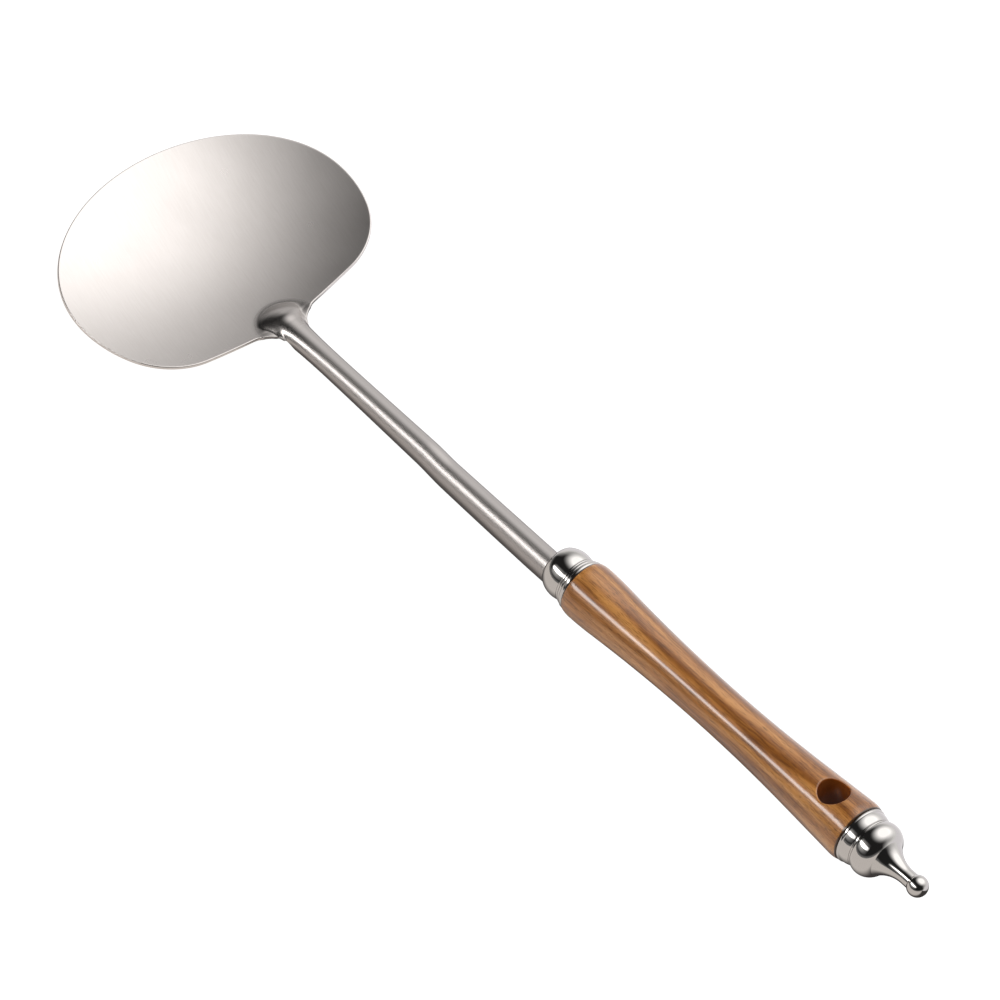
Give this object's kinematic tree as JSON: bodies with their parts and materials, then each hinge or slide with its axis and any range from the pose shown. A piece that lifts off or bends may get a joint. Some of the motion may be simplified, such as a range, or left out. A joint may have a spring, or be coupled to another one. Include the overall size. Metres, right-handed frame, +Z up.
{
  "type": "wok spatula",
  "caption": "Wok spatula: dished oval stainless blade on a shaft rolled from the same sheet, chrome ferrule, turned wooden grip with a hanging hole, and a chrome end finial.",
  "frame": {"origin": "middle of the tool's box, on the table it rests on", "axes": "+X along the tool from the blade's front edge towards the finial, +Y across the blade, +Z up out of the dish; the handle axis rises about 2 degrees towards the finial"},
  "size_m": [0.3988, 0.1146, 0.0261],
  "materials": {
    "brushed_stainless": "brushed sheet, buffed on the shaft",
    "chrome_plate": "polished chrome plate",
    "tang_steel": "plain turned steel",
    "lacquered_wood": "clear gloss lacquer over straight-grained hardwood"
  },
  "bodies": {
    "root": {"blade_and_shaft": "brushed_stainless", "front_ferrule": "chrome_plate", "handle_tang": "tang_steel", "wooden_handle": "lacquered_wood", "end_finial": "chrome_plate", "finial_stud": "tang_steel"}
  },
  "joints": []
}
